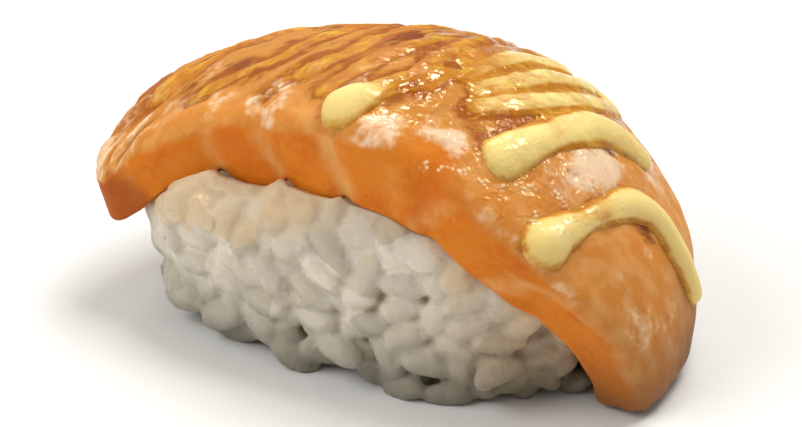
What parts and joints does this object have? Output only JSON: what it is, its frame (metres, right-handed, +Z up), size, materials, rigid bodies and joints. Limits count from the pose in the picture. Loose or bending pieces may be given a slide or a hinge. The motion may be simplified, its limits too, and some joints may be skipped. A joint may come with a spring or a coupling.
{
  "type": "salmon nigiri",
  "caption": "Piece of nigiri sushi: a torched slice of salmon with piped sauce, draped over an oblong hand-pressed heap of rice and hanging down at one end.",
  "frame": {"origin": "on the flat foot of the rice heap, near its middle", "axes": "+X along the slice towards the end that hangs down, +Y towards the back side, +Z up"},
  "size_m": [0.0674, 0.0337, 0.0341],
  "materials": {
    "rice": "cooked short-grain rice: warm white, translucent, moist with a soft satin sheen",
    "sauce": "piped egg-yellow sauce, creamy and smooth, browned and half melted where the torch caught it",
    "salmon": "torched salmon: deep orange cut side, browned oily top with pale fat, wet gloss"
  },
  "bodies": {
    "root": {"rice": "rice", "salmon": "salmon"}
  },
  "joints": []
}
